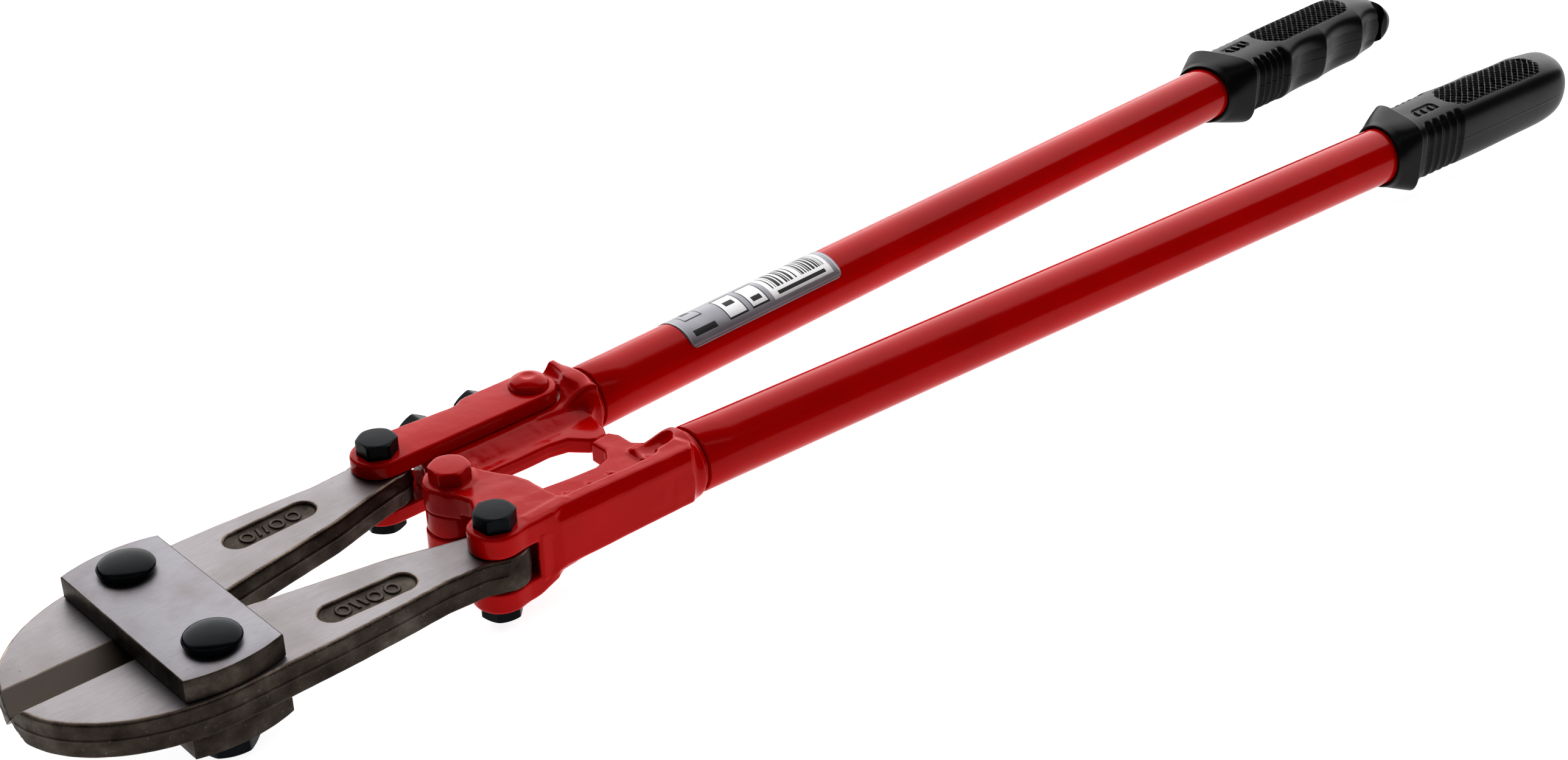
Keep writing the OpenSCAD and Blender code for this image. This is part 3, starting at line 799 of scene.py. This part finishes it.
def tube_field(x, y, z, back, front, r, soft=0.8):
    """A rod on the tube's axis from back behind the tube's end to front in it."""
    dx, dy = x - SOCKET[0], y - SOCKET[1]
    along = dx * SPREAD_COS + dy * SPREAD_SIN
    radial = np.hypot(dy * SPREAD_COS - dx * SPREAD_SIN, z)
    return slab_field(radial - r, along, back, front, soft)


def ellipsoid(x, y, z, at, radii):
    """About the distance to an ellipsoid."""
    q = np.sqrt(((x - at[0]) / radii[0]) ** 2 + ((y - at[1]) / radii[1]) ** 2
                + ((z - at[2]) / radii[2]) ** 2)
    return (q - 1) * min(radii)


def disc(x, y, at, r):
    return np.hypot(x - at[0], y - at[1]) - r


def collar_and_spigot(x, y, z, body, back):
    """Adds the casting's round end, a narrow neck and the spigot that goes into the tube."""
    body = blend_min(body, tube_field(x, y, z, -back, -2.2, TUBE_R + 0.9, 1.3), 2.2)
    body = np.minimum(body, tube_field(x, y, z, -10, 38, TUBE_R - 1.8, 0.5))
    return np.minimum(body, tube_field(x, y, z, -4, -0.3, TUBE_R - 0.9, 0.3))


def right_casting():
    """The clevis head: two ears and knuckle cheeks, an outer rail, a web and the tube's socket."""
    low = (140, -14, -16.5)
    x, y, z = grid_axes(low, (286, 48, 16.5), CAST_STEP)
    px, py = x[:, :, 0], y[:, :, 0]
    az = np.abs(z)
    tail_x, tail_y, centre_x, end_x = *TAIL, CENTRE[0], SOCKET[0]
    plan = polygon_distance(px, py, [
        (centre_x - 6, 6), (centre_x - 3.5, 15.5), (tail_x - 1, tail_y - 9), (tail_x, tail_y + 8.6),
        (tail_x + 18, CAST_Y - 0.5), (tail_x + 27, CAST_Y - 5), (tail_x + 25, 30),
        (tail_x + 25, 19), (tail_x + 23, 12), (centre_x + 13, 4.5), (centre_x + 9, -3)])
    plan = blend_min(plan, disc(px, py, TAIL, 9.6), 1.5)
    plan = blend_min(plan, disc(px, py, CENTRE, 9.6), 3.0)
    plan = plan[:, :, None]
    # past the clevis the underside rises towards the socket
    rise = np.clip((x - tail_x - 6) / 17, 0, 1)
    foot = CAST_HALF - 4.6 * rise * rise * (3 - 2 * rise)
    # the deck falls a little from the clevis ear to the centre knuckle
    top = CAST_HALF - 0.9 * np.clip((28 - y) / 20, 0, 1)
    deck = blend_max(slab_field(plan, az, PLATE_Z, 20, 1.0), az - top, 1.6)
    cheek = slab_field(disc(x, y, CENTRE, 9.6), az, 4.6, KNUCKLE_HALF, 1.0)
    cheek_plan = np.maximum(plan, disc(x, y, CENTRE, 12))
    deck = np.minimum(deck, np.minimum(cheek, slab_field(cheek_plan, az, 4.6, 12.5, 0.8)))
    deck = blend_max(deck, -z - foot, 1.2)
    boss = slab_field(disc(x, y, CENTRE, 8.4), az, 8, KNUCKLE_HALF, 0.8)
    deck = blend_min(deck, boss, 1.2)
    # outer rail: its underside rises from the clevis ear to the socket, with facets along it
    along = np.clip((x - tail_x - 22) / (end_x - 10 - tail_x - 22), 0, 1)
    top = CAST_HALF - (CAST_HALF - TUBE_R - 0.9) * along
    rail = polygon_distance(px, py, [
        (tail_x + 8, CAST_Y - 6.5), (tail_x + 28, CAST_Y - 8.5), (end_x - 24, CAST_Y - 8.5),
        (end_x - 9, CAST_Y - 12), (end_x - 4.5, CAST_Y - 6), (end_x - 9, CAST_Y + 0.6),
        (tail_x + 20, CAST_Y + 1.0), (tail_x + 8, CAST_Y - 1.5)])[:, :, None] + 0.6
    rail = blend_max(rail, np.maximum(z - top, -z - foot), 1.6)
    upper = (y - CAST_Y + 2.2) * 0.80 + (z - top) * 0.60 + 0.4
    under = (y - CAST_Y + 4.2) * 0.62 - (z + foot) * 0.785
    for facet in (upper, under):
        rail = blend_max(rail, facet, 0.8)
    body = blend_min(deck, rail, 1.2)
    wall = polygon_slab(px, py, z, [
        (tail_x + 8, CAST_Y - 3), (tail_x + 14, CAST_Y - 18), (tail_x + 31, CAST_Y - 20),
        (tail_x + 31, CAST_Y - 2), (tail_x + 12, CAST_Y)], -9, 9, 0.6)
    body = np.minimum(body, wall)
    body = blend_max(body, -slab_field(disc(x, y, TAIL, 13.2), z, -PLATE_Z, PLATE_Z, 0.3), 0.4)
    web = polygon_slab(px, py, z, [
        (tail_x + 19, 24), (tail_x + 24, 15), (tail_x + 31, 12.5), (tail_x + 45, 14.5),
        (tail_x + 56, 15.2), (tail_x + 62, 13.2), (tail_x + 65, 9), (tail_x + 65, 3.5),
        (end_x - 21.5, 1.5), (end_x - 18, 0.4), (end_x - 13, 0.4), (end_x - 11, 4),
        (end_x - 11, 11), (end_x - 5, 17), (end_x - 5, CAST_Y - 4),
        (tail_x + 20, CAST_Y - 4)], -4.2, 4.2, 1.1)
    body = blend_min(body, web, 1.8)
    body = collar_and_spigot(x, y, z, body, 17)
    # the spoon-shaped hollow between the web and the socket
    spoon = ellipsoid(x, y, az, (end_x - 13, 22, 13.5), (8.5, 9.5, 8.5))
    body = blend_max(body, -spoon, 1.5)
    # generic raised beads on the web
    for along in (tail_x + 38, tail_x + 47, tail_x + 56):
        bead = ellipsoid(x, y, az, (along, 25, 4.0), (3.0, 4.2, 1.0))
        hollow = ellipsoid(x, y, az, (along, 25, 5.0), (1.6, 2.6, 1.2))
        body = np.minimum(body, np.maximum(bead, -hollow))
    body = body + lumps(x, y, z, 0.09, 4.0, 16.0)
    for at in (TAIL, CENTRE):
        body = np.maximum(body, 4.02 - np.hypot(x - at[0], y - at[1]))
    return field_mesh(body, low, CAST_STEP)


def left_casting():
    """The tongue head: a knuckle and a web between the straps, and the tube's socket."""
    low = (148, -14, -15.5)
    x, y, z = grid_axes(low, (286, 48, 15.5), CAST_STEP)
    px, py = x[:, :, 0], y[:, :, 0]
    az = np.abs(z)
    tail_x, tail_y, centre_x, end_x = *TAIL, CENTRE[0], SOCKET[0]
    knuckle = slab_field(disc(x, y, CENTRE, 9.2), z, -4.4, 4.4, 0.5)
    tongue_plan = polygon_distance(px, py, [
        (centre_x - 5, 7.5), (centre_x + 8.5, 2), (tail_x + 24, 8.9), (tail_x + 30, 20),
        (tail_x + 12, 24)])
    tongue_plan = np.maximum(tongue_plan, 12 - np.hypot(px - tail_x, py - tail_y))
    tongue = slab_field(tongue_plan[:, :, None], z, -4.4, 4.4, 0.8)
    block_rear = tail_x + FRONT_SCREW + SCREW_PITCH + 5.2
    outline = [
        (tail_x + 10, 14), (tail_x + 24, 8.9), (end_x - 32, 8.9), (end_x - 25, 7.5),
        (end_x - 20, 2), (end_x - 17.5, 0.4), (end_x - 13, 0.4), (end_x - 10, 6),
        (end_x - 9, 14), (end_x - 5, 18), (end_x - 5, CAST_Y + 0.5),
        (block_rear, CAST_Y + 0.5), (block_rear, tail_y + 0.8), (tail_x + 14, tail_y + 0.8)]
    plan = polygon_distance(px, py, outline)
    plan = np.maximum(plan, 12 - np.hypot(px - tail_x, py - tail_y))[:, :, None]
    web = slab_field(plan, z, -WEB_HALF, WEB_HALF, 0.9)
    thick = slab_field(plan, z, -PLATE_Z, PLATE_Z, 0.6)
    # beside the straps a narrow land, then a slope down to the edge of the web
    slope = (az - PLATE_Z) * math.cos(SLOPE) - (y - (tail_y - 12.2)) * math.sin(SLOPE)
    thick = blend_max(thick, slope, 0.5)
    body = blend_min(np.minimum(knuckle, tongue), blend_min(web, thick, 0.5), 0.8)
    # the rear part climbs from beside the straps' ends to the socket
    climb = np.clip((x - RIVET[0] - 4) / 12, 0, 1)
    crown = PLATE_Z + (TUBE_R + 0.5 - PLATE_Z) * climb * climb * (3 - 2 * climb)
    rear = polygon_distance(px, py, [
        (RIVET[0] - 6, tail_y - 12.4), (end_x - 16, tail_y - 13.6), (end_x - 3, tail_y - 17),
        (end_x - 3, CAST_Y + 0.4), (RIVET[0] - 6, CAST_Y + 0.4)])[:, :, None]
    rear = blend_max(rear, az - crown, 1.8)
    body = blend_min(body, rear, 1.4)
    body = collar_and_spigot(x, y, z, body, 9)
    seat = np.minimum(disc(px, py, RIVET, 11.2), polygon_distance(px, py, [
        (tail_x - 20, tail_y - 10.9), (RIVET[0], tail_y - 10.9), (RIVET[0], 60),
        (tail_x - 20, 60)]))[:, :, None]
    body = np.maximum(body, -np.maximum(seat, PLATE_Z - az))
    scoop = ellipsoid(x, y, az, (RIVET[0] + 8.0, tail_y + 7, 13.5), (7.5, 13, 6.2))
    body = blend_max(body, -scoop, 0.9) + lumps(x, y, z, 0.09, 4.0, 16.0)
    body = np.maximum(body, 4.05 - np.hypot(x - CENTRE[0], y - CENTRE[1]))
    body = np.maximum(body, 4.02 - np.hypot(x - RIVET[0], y - RIVET[1]))
    return field_mesh(body, low, CAST_STEP)


def make_casting(node, body, part, side):
    casting = add_mesh(node + "_cast", *part, side)
    casting.data.set_sharp_from_angle(angle=math.radians(80))
    finish_piece(casting, body, node, "red_enamel", CAST_RED)


make_casting("handle_casting_right", "right_handle", right_casting(), -1)
make_casting("handle_casting_left", "left_handle", left_casting(), 1)


def make_adjuster_block():
    (x0, y0, _), (x1, y1, _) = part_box("adjuster_block")
    x0, x1, y0, y1 = (x0 - TIP_X) / MM, (x1 - TIP_X) / MM, y0 / MM, y1 / MM
    edge = 0.4
    levels = [(-PLATE_Z, -edge), (-PLATE_Z + edge, 0), (PLATE_Z - edge, 0), (PLATE_Z, -edge)]
    block = add_mesh("adjuster_block_milled",
                     *prism([(x0, y0), (x1, y0), (x1, y1), (x0, y1)], levels))
    finish_piece(block, "left_handle", "adjuster_block", "red_enamel", CAST_RED)


make_adjuster_block()


# ------------ tubes and label

def on_handle(at, u, v, w):
    """From a handle's own frame, u along it, v outwards and w up, to tool millimetres."""
    return np.column_stack([at[0] + u * SPREAD_COS - v * SPREAD_SIN,
                            at[1] + u * SPREAD_SIN + v * SPREAD_COS, w])


def make_tube(side, name):
    end = TUBE_L + 110
    inner = TUBE_R - 1.8
    stations = [(TUBE_R, z) for z in np.linspace(0.9, end, 40)]
    profile = [(inner, 0.2), (TUBE_R - 0.9, 0.0), (TUBE_R - 0.25, 0.25)] + stations + \
        [(inner, end), (inner, 0.2)]
    points, faces = loft([circle(r, z, 96) for r, z in profile], False, False)
    w, v, u = points.T
    tube = add_mesh(f"tube_{name}_drawn", on_handle(SOCKET, u, v, w),
                    [f[::-1] for f in faces], side)
    finish_piece(tube, f"{name}_handle", f"tube_{name}", "red_tube", TUBE_RED)


for handle_side in SIDES:
    make_tube(*handle_side)


def make_label():
    """A foil sticker wrapped round the upper side of the left tube, with rounded corners."""
    start, length, wrap = 45.0, 82.0, math.radians(150)
    radius = TUBE_R + 0.12
    height = wrap * radius
    nu, nv = 83, 41
    corner = 3.0
    points, uvs, faces = [], [], []
    for i in range(nu):
        for j in range(nv):
            u, v = i / (nu - 1), j / (nv - 1)
            along, around = u * length, v * wrap * radius
            # pull the corner points onto quarter circles
            cx = min(max(along, corner), length - corner)
            cy = min(max(around, corner), height - corner)
            dx, dy = along - cx, around - cy
            far = math.hypot(dx, dy)
            if dx and dy and far > corner:
                along, around = cx + dx * corner / far, cy + dy * corner / far
            a = around / radius - math.radians(60)
            points.append((start + along, radius * math.sin(a), radius * math.cos(a)))
            uvs.append((u, v))
    for i in range(nu - 1):
        for j in range(nv - 1):
            k = i * nv + j
            faces.append((k, k + 1, k + nv + 1, k + nv))
    label = add_mesh("tube_label_print", on_handle(SOCKET, *np.array(points).T), faces)
    layer = label.data.uv_layers.new(name="UVMap")
    for loop in label.data.loops:
        layer.data[loop.index].uv = uvs[loop.vertex_index]
    finish_piece(label, "left_handle", "tube_label", "label_foil", LABEL)
    solid = label.modifiers.new("foil", "SOLIDIFY")
    solid.thickness = 0.00012
    solid.offset = 0


make_label()


# ------------ grips

def smooth_curve(x, knots):
    """Smooth interpolation through (x, value) knots."""
    xs, ys = np.array(knots, float).T
    i = np.clip(np.searchsorted(xs, x) - 1, 0, len(xs) - 2)
    t = np.clip((x - xs[i]) / (xs[i + 1] - xs[i]), 0, 1)
    t = t * t * (3 - 2 * t)
    return ys[i] * (1 - t) + ys[i + 1] * t


COLLAR_R = TUBE_R + 1.5
CREST_U = 13.5
GUARD_END = 16.0
RIBS_U = (20.0, 45.0)
RIB_PITCH = 5.0
RIDGES_U = (47.0, 78.0, 110.0, 134.0)
END_U = 108.0
GROOVE = 3.4
# half sizes along the grip, in mm from the collar: the guard's flare, its crest and the body
FINGER = [(0, COLLAR_R), (CREST_U, 17.8), (14.1, 17.7), (GUARD_END, 15.2), (40, 16.4), (47, 17.3),
          (141, 17.3)]
PALM = [(0, COLLAR_R), (CREST_U, 16.8), (14.1, 16.7), (GUARD_END, 14.4), (60, 14.6), (100, 14.3),
        (141, 13.4)]
HEIGHT = [(0, COLLAR_R), (CREST_U, 16.6), (14.1, 16.5), (GUARD_END, 14.9), (60, 15.3), (100, 15.2),
          (141, 14.0)]
SQUARE = [(0, 2.0), (3, 2.2), (CREST_U, 4.2), (GUARD_END, 3.4), (45, 3.1), (110, 2.8), (141, 2.3)]


def grip_size(u, knots):
    if u < GUARD_END:
        xs, ys = np.array(knots, float).T
        return np.interp(u, xs, ys)
    return smooth_curve(u, knots)


def finger_groove(u):
    """How far the finger side is scooped at u, with a sharp ridge between grooves."""
    for start, stop in zip(RIDGES_U, RIDGES_U[1:]):
        if start < u < stop:
            return GROOVE * math.sin(math.pi * (u - start) / (stop - start))
    return 0.0


def pressed(u, v, sa):
    """Depth pressed into the surface: ribs, the knurled pad and the window."""
    side = np.clip((0.83 - np.abs(sa)) / 0.10, 0, 1)
    wave = (0.5 - 0.5 * np.cos((u - RIBS_U[0]) / RIB_PITCH * 2 * math.pi)) ** 0.7
    depth = 1.25 * wave * side * ((u > RIBS_U[0]) & (u < RIBS_U[1]))
    flat = np.abs(sa) > 0.35
    # pad: diamonds between crossed ridges, inside a long oval
    oval = np.hypot(u - np.clip(u, 52.0, 103.0), v) - 9.4
    pad = np.clip(-oval / 0.5, 0, 1) * flat
    f1 = np.abs(((u / 4.2 + v / 3.3) % 1) - 0.5) * 2
    f2 = np.abs(((u / 4.2 - v / 3.3) % 1) - 0.5) * 2
    ridge = np.clip((np.maximum(f1, f2) - 0.70) / 0.16, 0, 1)
    depth = depth + pad * 0.75 * (1 - ridge)
    # an arched window before the pad, with three plain bars left standing
    across = v - 2.4
    arch = np.hypot(u - np.clip(u, 24.0, 33.0), np.minimum(across, 0)) - 3.6
    window = np.maximum(arch, across - 2.6)
    bars = np.abs(((u - 21.6) / 4.6) % 1 - 0.5) * 4.6 < 0.8
    bars = bars & (np.abs(across) < 1.9) & (u > 21.6) & (u < 35.4)
    return depth + 0.8 * np.clip(-window / 0.4, 0, 1) * flat * (1 - bars)


def grip_surface():
    """Rings of the grip in its own frame: u along, v towards the palm, w up."""
    us = np.concatenate([np.arange(0, 15, 0.5), np.arange(15, END_U, 0.4)])
    n = 320
    a = np.linspace(0, 2 * math.pi, n, endpoint=False)
    ca, sa = np.cos(a), np.sin(a)
    line = np.exp(-(sa / 0.016) ** 2) * 0.14

    def section(u):
        m = grip_size(u, SQUARE)
        k = (np.abs(ca) ** m + np.abs(sa) ** m) ** (-1 / m)
        fingers = grip_size(u, FINGER) - finger_groove(u) * np.clip(-ca * 1.6, 0, 1) \
            * np.clip((0.96 - np.abs(sa)) / 0.6, 0, 1)
        return np.where(ca > 0, grip_size(u, PALM), fingers) * ca * k, grip_size(u, HEIGHT) * sa * k

    rings = []
    for u in us:
        v, w = section(u)
        place = np.full(n, u)
        scale = 1 - (pressed(place, v, sa) - line * (u > RIBS_U[0])) / np.hypot(v, w)
        lean = v * (0.16 + 0.10 * min(u / CREST_U, 1)) * np.clip((60 - u) / 40, 0, 1)
        rings.append(np.column_stack([place - lean, v * scale, w * scale]))
    # the slanted end: longer on the finger side, rounded over towards a horn
    apex = -12.0
    for t in np.linspace(0, 1, 60)[1:]:
        shrink = (1 - t ** 5.0) ** (1 / 2.6)
        v, w = section(END_U + (GRIP_L - END_U) * t)
        v, w = apex + (v - apex) * shrink, w * shrink
        reach = GRIP_L - 0.2 - 0.34 * np.clip(v + 10, 0, 40) - 0.014 * w * w
        u = END_U + (reach - END_U) * t
        size = np.hypot(v - apex, w) + 1e-6
        push = pressed(u, v, sa) * (t < 0.5) - line * (1 - t)
        rings.append(np.column_stack([u, v - push * (v - apex) / size * (t < 0.97),
                                      w - push * w / size * (t < 0.97)]))
    return rings


def make_grip(side, name, rings):
    """The outer rings over a bore for the tube, leaning like the collar at its mouth."""
    at = (SOCKET[0] + TUBE_L * SPREAD_COS, SOCKET[1] + TUBE_L * SPREAD_SIN)
    a = np.linspace(0, 2 * math.pi, len(rings[0]), endpoint=False)

    def bore_ring(r, u):
        return np.column_stack([u - 0.16 * r * np.cos(a) * (u < 50), r * np.cos(a), r * np.sin(a)])

    bore = [bore_ring(TUBE_R + 0.05, 112), bore_ring(TUBE_R + 0.05, 1.0),
            bore_ring(TUBE_R + 0.5, 0.2), bore_ring(COLLAR_R - 0.4, -0.15)]
    points, faces = loft(bore + rings)
    grip = add_mesh(f"grip_{name}_moulding", on_handle(at, *points.T), faces, side)
    hanging_hole = on_handle(at, GRIP_L - 10, -12, 0)[0]
    drill(grip, 3.5, hanging_hole, -25, 25, 48, side)
    shade_smooth(grip.data, 60)
    finish_piece(grip, f"{name}_handle", f"grip_{name}", "grip_plastic", PLASTIC)


grip_rings = grip_surface()
for handle_side in SIDES:
    make_grip(*handle_side, grip_rings)


# ------------ stage, light and camera

def make_stage():
    """A pale, faintly lit floor just below the tool, and a dim white world."""
    mesh = bpy.data.meshes.new("floor")
    r, z = 6.0, -0.0004
    mesh.from_pydata([(-r, -r, z), (r, -r, z), (r, r, z), (-r, r, z)], [], [(0, 1, 2, 3)])
    floor = bpy.data.objects.new("floor", mesh)
    bpy.context.scene.collection.objects.link(floor)
    paper = Nodes("floor_paper", Roughness=0.9)
    paper.shader.inputs["Base Color"].default_value = (0.60, 0.60, 0.60, 1)
    paper.shader.inputs["Emission Color"].default_value = (1, 1, 1, 1)
    paper.shader.inputs["Emission Strength"].default_value = 0.62
    mesh.materials.append(paper.material)
    world = bpy.data.worlds.new("studio")
    world.use_nodes = True
    background = world.node_tree.nodes["Background"]
    background.inputs["Color"].default_value = (1, 1, 1, 1)
    background.inputs["Strength"].default_value = 0.08
    bpy.context.scene.world = world


def add_light(name, at, target, size, radiance):
    """A rectangular softbox, given by how bright its face is."""
    light = bpy.data.lights.new(name, "AREA")
    light.shape = "RECTANGLE"
    light.size, light.size_y = size
    light.energy = radiance * math.pi * size[0] * size[1]
    obj = bpy.data.objects.new(name, light)
    obj.location = at
    obj.rotation_euler = (Vector(target) - Vector(at)).to_track_quat("-Z", "Y").to_euler()
    bpy.context.scene.collection.objects.link(obj)


CAMERA_AZIMUTH, CAMERA_ELEVATION, CAMERA_ROLL = -42.47, 30.0, -0.77
CAMERA_PLACE = (-200.64, -562.3, 431.24)
CAMERA_LENS = 53.4


def beside_camera(reach, height):
    """A place reach metres from the tool's middle, towards the camera when negative."""
    away = math.radians(90 + CAMERA_AZIMUTH)
    return reach * math.cos(away), reach * math.sin(away), height


def make_camera():
    """The photograph's view; its place is in tool millimetres."""
    azimuth, elevation, roll = map(math.radians, (CAMERA_AZIMUTH, CAMERA_ELEVATION, CAMERA_ROLL))
    place = to_frame([CAMERA_PLACE])[0]
    ahead = Vector((-math.sin(azimuth) * math.cos(elevation),
                    math.cos(azimuth) * math.cos(elevation), -math.sin(elevation)))
    right = ahead.cross(Vector((0, 0, 1))).normalized()
    up = right.cross(ahead)
    c, s = math.cos(roll), math.sin(roll)
    right, up = c * right + s * up, -s * right + c * up
    data = bpy.data.cameras.new("camera")
    data.sensor_width = 36
    data.lens = CAMERA_LENS
    data.clip_end = 30
    camera = bpy.data.objects.new("camera", data)
    camera.matrix_world = Matrix((
        (right.x, up.x, -ahead.x, place[0]), (right.y, up.y, -ahead.y, place[1]),
        (right.z, up.z, -ahead.z, place[2]), (0, 0, 0, 1)))
    bpy.context.scene.collection.objects.link(camera)
    bpy.context.scene.camera = camera


make_stage()
add_light("backdrop_softbox", beside_camera(1.25, 1.02), (0, 0, 0), (4.4, 2.3), 1.75)
add_light("front_strip", beside_camera(-0.45, 1.25), (0, 0, 0), (3.0, 0.16), 1.2)
make_camera()
display = bpy.context.scene.view_settings
display.view_transform = "Standard"
display.look = "High Contrast"
